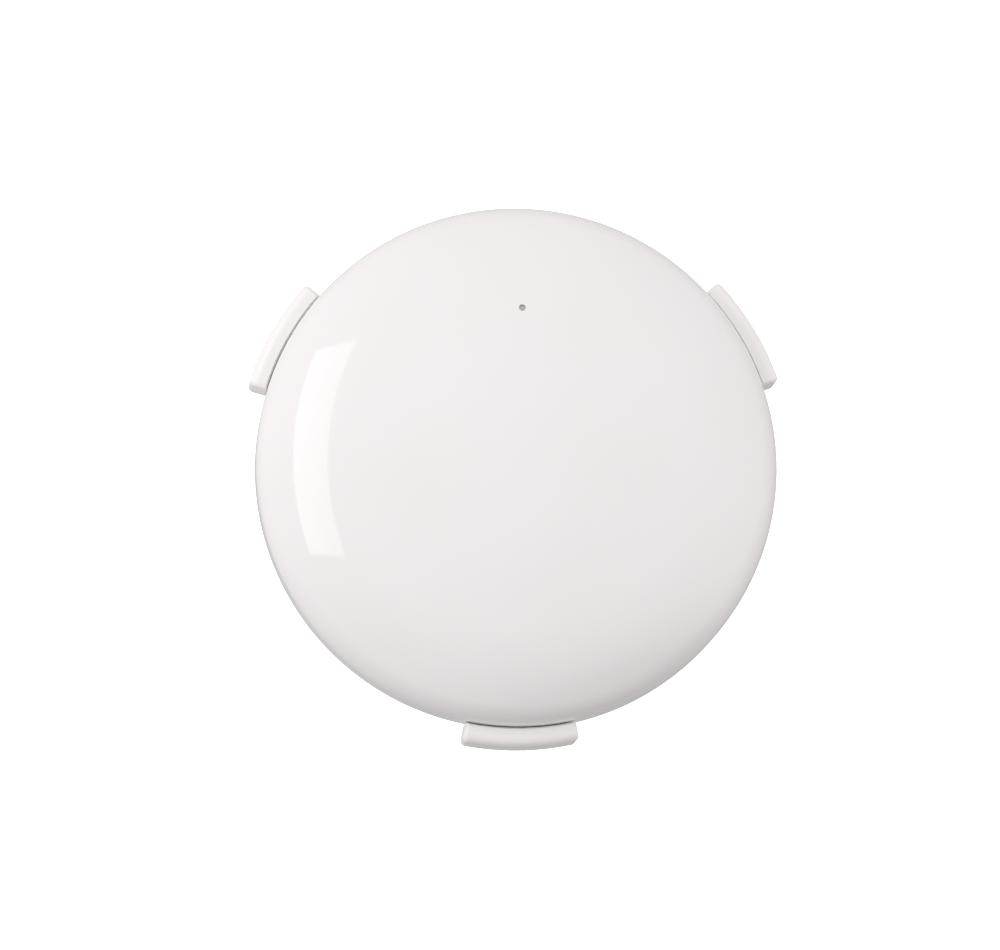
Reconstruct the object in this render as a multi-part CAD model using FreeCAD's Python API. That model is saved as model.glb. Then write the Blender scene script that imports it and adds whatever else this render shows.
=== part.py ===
"""A round tracker tag: a glossy domed cover that presses, a frame with the electronics and a coin cell,
and a screw-off back cover whose three rim lugs are its grips. Millimetres, +Z out through the dome.
The origin is the centre of the flat back face."""

import FreeCAD, Part
import math
import os

from FreeCAD import Vector

# ---------------------------------------------------------------- driving dimensions
TAG_RADIUS = 20.0          # the dome's widest circle
TAG_HEIGHT = 12.0
SHOULDER_Z = 4.9           # where the dome meets its upright skirt
SKIRT_EDGE_Z = 2.1
CROWN_SLOPE = math.radians(14)   # slopes at which the dome's outline changes radius
RIM_SLOPE = math.radians(38)
RIM_ROUND = 3.4
COVER_WALL = 1.2
PRESS_TRAVEL = 0.2         # how far the cover and the switch go down

LUG_RADIUS = 21.5
LUG_TOP_Z = 4.55
LUG_BOTTOM_Z = 0.9
LUG_HALF_ANGLE = 12.1
LUG_AZIMUTHS = (31, 151, 271)    # a degree round from a third of a turn off the light hole
LUG_TO_SKIRT = 0.06        # running gap beside the skirt
LUG_STEP_WIDTH = 0.12      # a small step along the top keeps the lug clear of the dome's rim
LUG_STEP_DEPTH = 0.3
LUG_END_ROUND = 0.4
LUG_TOP_ROUND = 0.8
SNAP_AZIMUTHS = (90, 210, 330)

LIGHT_RADIUS = 11.35       # the light hole's distance from the axis, at azimuth 90
LIGHT_HOLE_R = 0.25
LIGHT_RECESS = 0.2         # how far the clear pipe's tip lies under the dome

CELL_RADIUS = 10.0         # 2032 coin cell: 20.0 across and 3.2 thick
CELL_THICKNESS = 3.2
CELL_BOTTOM_Z = 1.6

BACK_THICKNESS = 1.2
BACK_RADIUS = 19.6
BACK_LIP_Z = 1.75
BACK_EDGE_ROUND = 1.0

THREAD_STARTS = (15, 135, 255)
THREAD_LEAD = 9.6          # rise per whole turn
RIDGE_SPAN = 18            # degrees round the frame
RIDGE_HEIGHT = 0.7
TWIST_RANGE = 60           # degrees from locked to free
THREAD_PLAY = 0.12         # clearance above and below a ridge in its groove
THREAD_END_PLAY = 2        # degrees spare before a ridge, and three times that after it

FRAME_RADIUS = 18.6
FRAME_BOTTOM_Z = 2.0
WALL_TOP_Z = 4.6
WEB_BOTTOM_Z = 3.8
CELL_RING_INNER = 10.3
CELL_RING_OUTER = 11.7

BOARD_RADIUS = 17.0
BOARD_BOTTOM_Z = 5.9
BOARD_THICKNESS = 0.8
SCREW_CIRCLE = 15.2

# ---------------------------------------------------------------- worked-out dimensions
SKIRT_INNER = TAG_RADIUS - COVER_WALL
CELL_TOP_Z = CELL_BOTTOM_Z + CELL_THICKNESS
BOARD_TOP_Z = BOARD_BOTTOM_Z + BOARD_THICKNESS
GASKET_BOTTOM_Z = WALL_TOP_Z
GASKET_TOP_Z = GASKET_BOTTOM_Z + 0.8
GASKET_INNER, GASKET_OUTER = FRAME_RADIUS - 1.0, FRAME_RADIUS - 0.2
SWITCH_TOP_Z = BOARD_TOP_Z + 0.9
PLUNGER_TOP_Z = SWITCH_TOP_Z + PRESS_TRAVEL + 0.15
PAD_BOTTOM_Z = PLUNGER_TOP_Z + 0.05
PAD_TOP_Z = PAD_BOTTOM_Z + 0.6
COLLAR_INNER, COLLAR_OUTER = CELL_RING_OUTER + 0.15, 13.35
COLLAR_TOP_Z = WEB_BOTTOM_Z - 0.2
RIDGE_START_Z = FRAME_BOTTOM_Z + 0.05 + RIDGE_HEIGHT / 2


# ---------------------------------------------------------------- helpers
def disc(radius, low, high, x=0.0, y=0.0):
    return Part.makeCylinder(radius, high - low, Vector(x, y, low))


def ring(inner, outer, low, high):
    return disc(outer, low, high).cut(disc(inner, low - 1, high + 1))


def block(size_x, size_y, low, high, x=0.0, y=0.0):
    return Part.makeBox(size_x, size_y, high - low, Vector(x - size_x / 2, y - size_y / 2, low))


def turned(shape, azimuth):
    copy = shape.copy()
    copy.rotate(Vector(0, 0, 0), Vector(0, 0, 1), azimuth)
    return copy


def copies(shape, azimuths):
    """The shape as drawn on +X, copied to each azimuth."""
    return [turned(shape, azimuth) for azimuth in azimuths]


def arc_block(inner, outer, low, high, half_angle):
    """A slice of a ring, centred on +X."""
    slice_face = Part.Face(
        Part.makePolygon([Vector(inner, 0, low), Vector(outer, 0, low), Vector(outer, 0, high),
                          Vector(inner, 0, high), Vector(inner, 0, low)]))
    slice_face.rotate(Vector(0, 0, 0), Vector(0, 0, 1), -half_angle)
    return slice_face.revolve(Vector(0, 0, 0), Vector(0, 0, 1), 2 * half_angle)


def dome_radii():
    """Radii of the dome's three tangent arcs, so that they add up to its radius and its rise."""
    sin_crown, cos_crown = math.sin(CROWN_SLOPE), math.cos(CROWN_SLOPE)
    sin_rim, cos_rim = math.sin(RIM_SLOPE), math.cos(RIM_SLOPE)
    reach = TAG_RADIUS - RIM_ROUND * (1 - sin_rim)
    climb = TAG_HEIGHT - SHOULDER_Z - RIM_ROUND * cos_rim
    across, down = sin_rim - sin_crown, cos_crown - cos_rim
    shoulder = (climb * sin_crown - reach * (1 - cos_crown)) / (down * sin_crown - across * (1 - cos_crown))
    crown = (reach - shoulder * across) / sin_crown
    return crown, shoulder


def arc(centre, radius, slopes):
    """An arc of the dome's outline between two slopes, measured from level."""
    middle = (slopes[0] + slopes[1]) / 2
    points = [centre + Vector(radius * math.sin(a), 0, radius * math.cos(a))
              for a in (slopes[0], middle, slopes[1])]
    return Part.Arc(*points).toShape()


def dome(inset, low):
    """The solid under the dome's surface, less an even inset, down to a flat at low."""
    crown, shoulder = dome_radii()
    crown_centre = Vector(0, 0, TAG_HEIGHT - crown)
    step = Vector(math.sin(CROWN_SLOPE), 0, math.cos(CROWN_SLOPE))
    shoulder_centre = crown_centre + step * (crown - shoulder)
    rim_centre = Vector(TAG_RADIUS - RIM_ROUND, 0, SHOULDER_Z)
    edges = [arc(crown_centre, crown - inset, (0, CROWN_SLOPE)),
             arc(shoulder_centre, shoulder - inset, (CROWN_SLOPE, RIM_SLOPE)),
             arc(rim_centre, RIM_ROUND - inset, (RIM_SLOPE, math.pi / 2))]
    rim, foot = TAG_RADIUS - inset, Vector(0, 0, low)
    edges += [Part.makeLine(Vector(rim, 0, SHOULDER_Z), Vector(rim, 0, low)),
              Part.makeLine(Vector(rim, 0, low), foot),
              Part.makeLine(foot, Vector(0, 0, TAG_HEIGHT - inset))]
    return Part.Face(Part.Wire(edges)).revolve(Vector(0, 0, 0), Vector(0, 0, 1), 360)


def helical_bar(inner, outer, height, middle_z, start, span):
    """A bar of rectangular section that climbs the thread from azimuth start through span degrees."""
    rise = THREAD_LEAD * span / 360
    guide = Part.makeHelix(THREAD_LEAD, rise, (inner + outer) / 2)
    section = Part.makePolygon([Vector(inner, 0, -height / 2), Vector(outer, 0, -height / 2),
                                Vector(outer, 0, height / 2), Vector(inner, 0, height / 2),
                                Vector(inner, 0, -height / 2)])
    bar = Part.Wire(guide.Edges).makePipeShell([section], True, True)
    bar.translate(Vector(0, 0, middle_z))
    return turned(bar, start)


def bent_strip(points, thickness, width):
    """A strip of sheet metal that follows (x, z) points, with its width along Y."""
    normals = []
    for (x0, z0), (x1, z1) in zip(points, points[1:]):
        length = math.hypot(x1 - x0, z1 - z0)
        normals.append(((z0 - z1) / length, (x1 - x0) / length))
    joints = [normals[0]]
    for (ax, az), (bx, bz) in zip(normals, normals[1:]):
        mitre = 1 + ax * bx + az * bz
        joints.append(((ax + bx) / mitre, (az + bz) / mitre))
    joints.append(normals[-1])
    far_side = [(x + nx * thickness, z + nz * thickness) for (x, z), (nx, nz) in zip(points, joints)]
    outline = [Vector(x, -width / 2, z) for x, z in points + far_side[::-1]]
    return Part.Face(Part.makePolygon(outline + outline[:1])).extrude(Vector(0, width, 0))


def softened(shape, radius, picks):
    """Rounds the edges that picks(edge) chooses."""
    return shape.makeFillet(radius, [edge for edge in shape.Edges if picks(edge)])


def save(name, shapes):
    shapes = shapes if isinstance(shapes, list) else [shapes]
    solids = [solid for shape in shapes for solid in shape.Solids]
    whole = solids[0] if len(solids) == 1 else Part.makeCompound(solids)
    if not whole.isValid():
        raise ValueError(f"{name} isn't a valid solid")
    whole.exportStep(f"parts/{name}.step")
    print(f"{name:20s} {len(solids)} solids, {whole.Volume:8.2f} mm3")


# ---------------------------------------------------------------- the pressing cover
def top_cover():
    outside = dome(0, SKIRT_EDGE_Z)
    lower_rim = [e for e in outside.Edges if abs(e.BoundBox.ZMax - SKIRT_EDGE_Z) < 0.01
                 and e.BoundBox.XLength > TAG_RADIUS]
    outside = outside.makeFillet(0.25, lower_rim)
    inside = dome(COVER_WALL, SKIRT_EDGE_Z - 1)
    cover = outside.cut(inside)
    gasket_rib = ring(GASKET_INNER, GASKET_OUTER, GASKET_TOP_Z + 0.02, SHOULDER_Z + 2.6)
    press_post = ring(1.1, 2.0, PAD_TOP_Z, TAG_HEIGHT - 0.6)
    light_boss = disc(1.7, BOARD_TOP_Z + 1.2, TAG_HEIGHT - 1.5, 0, LIGHT_RADIUS)
    for feature in (gasket_rib, press_post, light_boss):
        cover = cover.fuse(feature.common(outside))
    bead = arc_block(SKIRT_INNER - 0.6, SKIRT_INNER + 0.1, 2.35, 2.8, 9)
    for snap in copies(bead, SNAP_AZIMUTHS):
        cover = cover.fuse(snap)
    cover = cover.cut(disc(0.9, BOARD_TOP_Z, 9.7, 0, LIGHT_RADIUS))
    cover = cover.cut(disc(LIGHT_HOLE_R, 9, TAG_HEIGHT, 0, LIGHT_RADIUS))
    return cover.removeSplitter()


def light_pipe():
    foot = disc(0.88, BOARD_TOP_Z + 0.9, 9.68, 0, LIGHT_RADIUS)
    tip = disc(LIGHT_HOLE_R - 0.01, 9.6, TAG_HEIGHT, 0, LIGHT_RADIUS)
    tip = tip.common(dome(LIGHT_RECESS, SKIRT_EDGE_Z))
    return foot.fuse(tip).removeSplitter()


def switch_pad():
    return disc(1.9, PAD_BOTTOM_Z, PAD_TOP_Z)


# ---------------------------------------------------------------- the frame and its seal
def inner_frame():
    outer_wall = ring(FRAME_RADIUS - 1.1, FRAME_RADIUS, FRAME_BOTTOM_Z, WALL_TOP_Z)
    web = ring(CELL_RING_OUTER - 0.1, FRAME_RADIUS - 1.0, WEB_BOTTOM_Z, WALL_TOP_Z)
    cell_ring = ring(CELL_RING_INNER, CELL_RING_OUTER, FRAME_BOTTOM_Z, BOARD_BOTTOM_Z)
    cell_stop = ring(CELL_RADIUS - 0.8, CELL_RING_INNER + 0.1, CELL_TOP_Z + 0.15, BOARD_BOTTOM_Z)
    frame = outer_wall.fuse([web, cell_ring, cell_stop])
    for boss in copies(disc(1.6, WEB_BOTTOM_Z, BOARD_BOTTOM_Z, SCREW_CIRCLE), LUG_AZIMUTHS):
        frame = frame.fuse(boss)
    for start in THREAD_STARTS:
        ridge = helical_bar(CELL_RING_OUTER - 0.2, CELL_RING_OUTER + 0.65, RIDGE_HEIGHT,
                            RIDGE_START_Z, start, RIDGE_SPAN)
        frame = frame.fuse(ridge)
    for pilot in copies(disc(0.72, WEB_BOTTOM_Z + 0.3, BOARD_TOP_Z, SCREW_CIRCLE), LUG_AZIMUTHS):
        frame = frame.cut(pilot)
    pocket = arc_block(FRAME_RADIUS - 0.6, FRAME_RADIUS + 0.2, FRAME_BOTTOM_Z - 0.1, 2.85, 9.6)
    for hollow in copies(pocket, SNAP_AZIMUTHS):
        frame = frame.cut(hollow)
    contact_slot = block(3.2, 3.4, 2.6, BOARD_TOP_Z, CELL_RING_INNER + 0.2)
    return frame.cut(contact_slot).removeSplitter()


def cover_gasket():
    return ring(GASKET_INNER, GASKET_OUTER, GASKET_BOTTOM_Z, GASKET_TOP_Z)


# ---------------------------------------------------------------- the circuit board and what is on it
SOUNDER_X, SOUNDER_Y = -7.6, -0.5
RADIO_X, RADIO_Y = 7.4, 1.2
CRYSTAL_X, CRYSTAL_Y = 7.0, -4.6
MOTION_X, MOTION_Y = 2.6, -7.4
ANTENNA_RADIUS, ANTENNA_AZIMUTH = 13.9, 330
CAPACITORS = ((3.4, 5.6), (5.4, 6.4), (8.4, 6.2), (-3.2, 7.2), (-5.0, 6.4), (-3.4, -7.6), (4.2, -4.0))
RESISTORS = ((1.8, 9.4), (-1.9, 9.0), (3.8, 8.2), (9.6, -3.4), (-5.6, -7.4), (0.0, -5.6))


def circuit_board():
    board = disc(BOARD_RADIUS, BOARD_BOTTOM_Z, BOARD_TOP_Z)
    for hole in copies(disc(0.85, BOARD_BOTTOM_Z - 1, BOARD_TOP_Z + 1, SCREW_CIRCLE), LUG_AZIMUTHS):
        board = board.cut(hole)
    notch = block(1.2, 2.4, BOARD_BOTTOM_Z - 1, BOARD_TOP_Z + 1, BOARD_RADIUS)
    return board.cut(turned(notch, 180))


def board_screws():
    head = softened(disc(1.4, BOARD_TOP_Z, BOARD_TOP_Z + 0.7, SCREW_CIRCLE), 0.25,
                    lambda e: e.BoundBox.ZMin > BOARD_TOP_Z + 0.6)
    shank = disc(0.7, WEB_BOTTOM_Z + 0.4, BOARD_TOP_Z + 0.1, SCREW_CIRCLE)
    screw = head.fuse(shank)
    for angle in (0, 90):
        slot = block(1.5, 0.3, BOARD_TOP_Z + 0.35, BOARD_TOP_Z + 1)
        slot = turned(slot, angle)
        slot.translate(Vector(SCREW_CIRCLE, 0, 0))
        screw = screw.cut(slot)
    return copies(screw.removeSplitter(), LUG_AZIMUTHS)


def switch_housing():
    body = block(4.6, 4.6, BOARD_TOP_Z, SWITCH_TOP_Z)
    body = softened(body, 0.3, lambda e: e.BoundBox.ZLength > 0.8)
    body = body.cut(disc(1.75, BOARD_TOP_Z + 0.15, SWITCH_TOP_Z - 0.2))
    return body.cut(disc(1.1, BOARD_TOP_Z + 0.5, SWITCH_TOP_Z + 1))


def switch_terminals():
    tab = block(0.7, 0.6, BOARD_TOP_Z, BOARD_TOP_Z + 0.15)
    places = [(x, y) for x in (-2.66, 2.66) for y in (-1.5, 1.5)]
    return [tab.translated(Vector(x, y, 0)) for x, y in places]


def switch_snap_dome():
    """A shallow metal cap that clicks flat under the plunger."""
    edge_z, reach, metal = BOARD_TOP_Z + 0.17, 1.5, 0.06
    bulge = PRESS_TRAVEL + 0.03
    curve = (reach ** 2 + bulge ** 2) / (2 * bulge)
    centre = Vector(0, 0, edge_z + bulge - curve)
    shell = Part.makeSphere(curve, centre).cut(Part.makeSphere(curve - metal, centre))
    return shell.common(disc(reach, edge_z, edge_z + bulge + 0.1))


def switch_plunger():
    flange = disc(1.6, BOARD_TOP_Z + 0.44, SWITCH_TOP_Z - 0.24)
    stem = disc(1.0, BOARD_TOP_Z + 0.44, PLUNGER_TOP_Z)
    stem = softened(stem, 0.15, lambda e: e.BoundBox.ZMin > PLUNGER_TOP_Z - 0.01)
    return flange.fuse(stem).removeSplitter()


def radio_chip():
    chip = block(6.0, 6.0, BOARD_TOP_Z, BOARD_TOP_Z + 0.85, RADIO_X, RADIO_Y)
    corner_mark = disc(0.3, BOARD_TOP_Z + 0.8, BOARD_TOP_Z + 1, RADIO_X - 2.3, RADIO_Y + 2.3)
    return chip.cut(corner_mark)


def timing_crystal():
    base = block(3.2, 2.5, BOARD_TOP_Z, BOARD_TOP_Z + 0.4, CRYSTAL_X, CRYSTAL_Y)
    lid = block(2.8, 2.1, BOARD_TOP_Z + 0.3, BOARD_TOP_Z + 0.75, CRYSTAL_X, CRYSTAL_Y)
    return base.fuse(lid).removeSplitter()


def motion_sensor():
    return block(2.0, 2.0, BOARD_TOP_Z, BOARD_TOP_Z + 0.9, MOTION_X, MOTION_Y)


def chip_antenna():
    return turned(block(2.0, 5.2, BOARD_TOP_Z, BOARD_TOP_Z + 1.1, ANTENNA_RADIUS), ANTENNA_AZIMUTH)


def status_led():
    base = block(1.6, 0.8, BOARD_TOP_Z, BOARD_TOP_Z + 0.25, 0, LIGHT_RADIUS)
    lens = block(1.1, 0.8, BOARD_TOP_Z + 0.2, BOARD_TOP_Z + 0.6, 0, LIGHT_RADIUS)
    return base.fuse(lens).removeSplitter()


def sounder_case():
    case = block(9.0, 9.0, BOARD_TOP_Z, BOARD_TOP_Z + 1.9, SOUNDER_X, SOUNDER_Y)
    case = softened(case, 0.5, lambda e: e.BoundBox.ZLength > 1.8)
    upper_chamber = disc(3.9, BOARD_TOP_Z + 0.7, BOARD_TOP_Z + 1.5, SOUNDER_X, SOUNDER_Y)
    lower_chamber = disc(3.2, BOARD_TOP_Z + 0.3, BOARD_TOP_Z + 0.8, SOUNDER_X, SOUNDER_Y)
    sound_hole = disc(0.6, BOARD_TOP_Z + 1, BOARD_TOP_Z + 3, SOUNDER_X, SOUNDER_Y)
    return case.cut(upper_chamber).cut(lower_chamber).cut(sound_hole)


def sounder_diaphragm():
    return disc(3.85, BOARD_TOP_Z + 0.7, BOARD_TOP_Z + 0.85, SOUNDER_X, SOUNDER_Y)


def board_capacitors():
    return [block(1.6, 0.8, BOARD_TOP_Z, BOARD_TOP_Z + 0.8, x, y) for x, y in CAPACITORS]


def board_resistors():
    return [block(0.6, 1.2, BOARD_TOP_Z, BOARD_TOP_Z + 0.35, x, y) for x, y in RESISTORS]


def board_insulator():
    sheet = disc(CELL_RADIUS - 1.0, BOARD_BOTTOM_Z - 0.1, BOARD_BOTTOM_Z - 0.02)
    return sheet.cut(block(10.0, 5.0, BOARD_BOTTOM_Z - 1, BOARD_BOTTOM_Z))


# ---------------------------------------------------------------- the coin cell and its contacts
CONTACT_METAL = 0.15
CELL_SKIN = 0.25


def negative_contact():
    foot_z = BOARD_BOTTOM_Z - CONTACT_METAL
    touch_z = CELL_TOP_Z + 0.03
    path = [(-4.2, foot_z), (-1.6, foot_z), (1.6, touch_z), (2.6, touch_z), (3.8, touch_z + 0.45)]
    return bent_strip(path, CONTACT_METAL, 4.0)


def positive_contact():
    near, far = CELL_RADIUS + 0.05, CELL_RADIUS + 0.4
    path = [(far + 0.2, 2.9), (near, 3.4), (near, 3.7), (far, 4.6),
            (far, BOARD_BOTTOM_Z), (far + 2.2, BOARD_BOTTOM_Z)]
    return bent_strip(path, -CONTACT_METAL, 3.0)


def cell_can():
    can = disc(CELL_RADIUS, CELL_BOTTOM_Z, CELL_TOP_Z - 0.3)
    can = softened(can, 0.4, lambda e: e.BoundBox.ZMax < CELL_BOTTOM_Z + 0.01)
    return can.cut(disc(CELL_RADIUS - CELL_SKIN, CELL_BOTTOM_Z + CELL_SKIN, CELL_TOP_Z))


def cell_gasket():
    inner, outer = CELL_RADIUS - 0.9, CELL_RADIUS - CELL_SKIN - 0.02
    return ring(inner, outer, CELL_BOTTOM_Z + CELL_SKIN + 0.02, CELL_TOP_Z - 0.3)


def cell_cap():
    reach = CELL_RADIUS - 0.92
    cap = disc(reach, CELL_BOTTOM_Z + 0.6, CELL_TOP_Z)
    cap = softened(cap, 0.35, lambda e: e.BoundBox.ZMin > CELL_TOP_Z - 0.01)
    return cap.cut(disc(reach - CELL_SKIN, CELL_BOTTOM_Z, CELL_TOP_Z - CELL_SKIN))


def cell_core():
    reach = CELL_RADIUS - 0.94 - CELL_SKIN
    return disc(reach, CELL_BOTTOM_Z + CELL_SKIN + 0.02, CELL_TOP_Z - CELL_SKIN - 0.02)


# ---------------------------------------------------------------- the screw-off back cover
def lug():
    """One grip lug on +X: an upright tab beside the skirt, on a foot that reaches in under it."""
    inner = TAG_RADIUS + LUG_TO_SKIRT
    tab = arc_block(inner, LUG_RADIUS, LUG_BOTTOM_Z, LUG_TOP_Z, LUG_HALF_ANGLE)

    def outer_top(edge):
        return edge.BoundBox.ZMin > LUG_TOP_Z - 0.01 and edge.CenterOfMass.x > LUG_RADIUS - 0.3

    def round_an_end(edge):
        middle = edge.CenterOfMass
        azimuth = math.degrees(math.atan2(middle.y, middle.x))
        return (abs(abs(azimuth) - LUG_HALF_ANGLE) < 0.01 and middle.z > LUG_BOTTOM_Z + 0.1
                and math.hypot(middle.x, middle.y) > inner + 0.1)

    tab = softened(tab, LUG_TOP_ROUND, outer_top)
    tab = softened(tab, LUG_END_ROUND, round_an_end)
    tab = tab.cut(arc_block(inner - 1, inner + LUG_STEP_WIDTH, LUG_TOP_Z - LUG_STEP_DEPTH, LUG_TOP_Z + 1,
                            LUG_HALF_ANGLE + 5))
    foot = arc_block(BACK_RADIUS - 0.5, inner + 0.4, LUG_BOTTOM_Z, BACK_LIP_Z, LUG_HALF_ANGLE - 0.3)
    return tab.fuse(foot).removeSplitter()


def back_cover():
    rim = BACK_RADIUS - BACK_EDGE_ROUND
    bend = Vector(rim + BACK_EDGE_ROUND * math.sin(math.pi / 4), 0,
                  BACK_EDGE_ROUND * (1 - math.cos(math.pi / 4)))
    rounded = Part.Arc(Vector(rim, 0, 0), bend, Vector(BACK_RADIUS, 0, BACK_EDGE_ROUND)).toShape()
    rest = Part.makePolygon([Vector(r, 0, z) for r, z in (
        (BACK_RADIUS, BACK_EDGE_ROUND), (BACK_RADIUS, BACK_LIP_Z), (BACK_RADIUS - 0.7, BACK_LIP_Z),
        (BACK_RADIUS - 0.7, BACK_THICKNESS), (0, BACK_THICKNESS), (0, 0), (rim, 0))])
    plate = Part.Face(Part.Wire([rounded] + rest.Edges)).revolve(Vector(0, 0, 0), Vector(0, 0, 1), 360)
    collar = ring(COLLAR_INNER, COLLAR_OUTER, BACK_THICKNESS - 0.1, COLLAR_TOP_Z)
    for start in THREAD_STARTS:
        groove = helical_bar(COLLAR_INNER - 0.4, COLLAR_INNER + 0.65, RIDGE_HEIGHT + 2 * THREAD_PLAY,
                             RIDGE_START_Z - THREAD_LEAD * THREAD_END_PLAY / 360, start - THREAD_END_PLAY,
                             RIDGE_SPAN + TWIST_RANGE + 3 * THREAD_END_PLAY)
        collar = collar.cut(groove)
    cover = plate.fuse(collar)
    for grip in copies(lug(), LUG_AZIMUTHS):
        cover = cover.fuse(grip)
    for arrow in copies(turn_arrow(), (90, 270)):
        cover = cover.cut(arrow)
    return cover.removeSplitter()


def turn_arrow():
    """The engraving that shows which way to turn: a curved bar with an arrowhead, on +X."""
    middle, depth = 15.0, 0.2
    bar = arc_block(middle - 0.35, middle + 0.35, -0.1, depth, 20)
    tip_angle, tail_angle = math.radians(-27), math.radians(-19)
    corners = [Vector(middle * math.cos(tip_angle), middle * math.sin(tip_angle), -0.1)]
    for radius in (middle - 1.1, middle + 1.1):
        corners.append(Vector(radius * math.cos(tail_angle), radius * math.sin(tail_angle), -0.1))
    head = Part.Face(Part.makePolygon(corners + corners[:1])).extrude(Vector(0, 0, depth + 0.1))
    return bar.fuse(head)


def back_o_ring():
    return Part.makeTorus(FRAME_RADIUS - 0.83, 0.37, Vector(0, 0, BACK_THICKNESS + 0.4))


def battery_pad():
    return disc(7.0, BACK_THICKNESS, CELL_BOTTOM_Z - 0.05)


# ---------------------------------------------------------------- every node
NODES = (top_cover, light_pipe, switch_pad, inner_frame, cover_gasket, circuit_board, board_screws,
         switch_housing, switch_terminals, switch_snap_dome, switch_plunger, radio_chip, timing_crystal,
         motion_sensor, chip_antenna, status_led, sounder_case, sounder_diaphragm, board_capacitors,
         board_resistors, board_insulator, negative_contact, positive_contact, cell_can, cell_gasket,
         cell_cap, cell_core, back_cover, back_o_ring, battery_pad)

os.makedirs("parts", exist_ok=True)
for make in NODES:
    save(make.__name__, make())
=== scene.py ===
# %% [markdown]
# # A round tracker tag on a white table
#
# The tag is a glossy white puck, 40 mm across and 12 mm high. Its whole dome is the button, a pinhole lets
# a status light out, and three grip lugs stand at its rim to turn the back cover by.
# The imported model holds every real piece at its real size. This script gives those pieces their looks:
# fine meshes for what catches the light, a finish made to measure for every piece, and a small studio.

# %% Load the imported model
import bmesh
import bpy
import math
from mathutils import Matrix, Vector


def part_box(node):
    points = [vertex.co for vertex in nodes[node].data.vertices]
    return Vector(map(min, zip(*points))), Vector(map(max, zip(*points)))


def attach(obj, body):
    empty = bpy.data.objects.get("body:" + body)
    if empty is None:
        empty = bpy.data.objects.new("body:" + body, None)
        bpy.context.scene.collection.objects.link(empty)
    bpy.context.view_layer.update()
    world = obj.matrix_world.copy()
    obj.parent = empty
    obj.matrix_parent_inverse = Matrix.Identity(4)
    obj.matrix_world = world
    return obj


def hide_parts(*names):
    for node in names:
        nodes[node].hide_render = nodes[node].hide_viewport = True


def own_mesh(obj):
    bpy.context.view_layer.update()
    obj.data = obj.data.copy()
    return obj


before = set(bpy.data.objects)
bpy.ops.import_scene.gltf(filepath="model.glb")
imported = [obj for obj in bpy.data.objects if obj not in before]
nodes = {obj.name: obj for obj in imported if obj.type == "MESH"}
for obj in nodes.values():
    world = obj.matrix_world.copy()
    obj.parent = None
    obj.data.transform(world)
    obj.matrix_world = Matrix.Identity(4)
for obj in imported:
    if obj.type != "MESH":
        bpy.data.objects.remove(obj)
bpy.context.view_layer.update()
MM = 0.001                     # one millimetre in Blender's metres
cover_low, cover_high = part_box("top_cover")
tag_radius, tag_height = cover_high.x, cover_high.z
print(f"{len(nodes)} pieces, a dome {2 * tag_radius / MM:.1f} mm across and {tag_height / MM:.1f} mm high")

# %% [markdown]
# ## The camera
#
# A small product is pictured from far away with a long lens, so that its circle stays a circle.
# The camera looks down on the dome, leaning a little towards the bottom lug and a little to the left,
# and the tag sits a touch right of the middle. It comes first, because every later look goes through it.

# %% Camera
CAMERA_LEAN_LEFT = math.radians(4)
CAMERA_LEAN_DOWN = math.radians(8)
CAMERA_DISTANCE = 0.5
PICTURE_WIDTH = 76.6 * MM      # what the picture spans at the tag
SENSOR_WIDTH = 36.0            # a full-frame camera's, in its own millimetres
AIM_HEIGHT = 5.0 * MM
AIM_LEFT, AIM_DOWN = 1.30 * MM, 0.69 * MM

towards_camera = Vector((-math.tan(CAMERA_LEAN_LEFT), -math.tan(CAMERA_LEAN_DOWN), 1)).normalized()
across = Vector((0, 1, 0)).cross(towards_camera).normalized()
upwards = towards_camera.cross(across)


def facing(position, right, up, back):
    """The placement of something that looks along -back, with its right and up sides given."""
    return Matrix.Translation(position) @ Matrix((right, up, back)).transposed().to_4x4()


lens = bpy.data.cameras.new("studio_camera")
lens.sensor_width = SENSOR_WIDTH
lens.lens = SENSOR_WIDTH * CAMERA_DISTANCE / PICTURE_WIDTH
lens.clip_start = 0.01
camera = bpy.data.objects.new("studio_camera", lens)
aim = Vector((0, 0, AIM_HEIGHT)) - across * AIM_LEFT - upwards * AIM_DOWN
camera.matrix_world = facing(aim + towards_camera * CAMERA_DISTANCE, across, upwards, towards_camera)
bpy.context.scene.collection.objects.link(camera)
bpy.context.scene.camera = camera
print(f"a {lens.lens:.0f} mm lens, {CAMERA_DISTANCE} m away")

# %% [markdown]
# ## Two helpers for materials
#
# A paint chart gives colours as sRGB hex values, and Blender works in linear light, so one function turns
# the first into the second. The other adds a shader node and plugs its inputs in, so that a material below
# reads as a list of what feeds what.

# %% Colour and node helpers
def linear(hex_colour):
    """An sRGB hex colour as the linear red, green, blue and alpha that Blender works in."""
    parts = [int(hex_colour[i:i + 2], 16) / 255 for i in (1, 3, 5)]
    return [p / 12.92 if p <= 0.04045 else ((p + 0.055) / 1.055) ** 2.4 for p in parts] + [1.0]


def add(tree, kind, settings=None, inputs=None):
    """Adds one node with its settings, and feeds its inputs from sockets or plain values."""
    node = tree.nodes.new(kind)
    for name, value in (settings or {}).items():
        setattr(node, name, value)
    for name, value in (inputs or {}).items():
        if isinstance(value, bpy.types.NodeSocket):
            tree.links.new(value, node.inputs[name])
        else:
            node.inputs[name].default_value = value
    return node


def blank_material(name):
    material = bpy.data.materials.new(name)
    material.use_nodes = True
    material.node_tree.nodes.clear()
    return material, material.node_tree


# %% [markdown]
# ## White glossy cover: ABS from a polished mould
#
# The cover is ABS, filled with white pigment and moulded against mirror-polished steel. Three things tell
# the eye so: a sharp but weak reflection, a faint waviness in it where the plastic shrank (moulders call it
# orange peel), and a white that is a little warm. The waves are 2 mm apart and under a thousandth of a
# millimetre deep, which is why they come from bump and not from the mesh.

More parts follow.
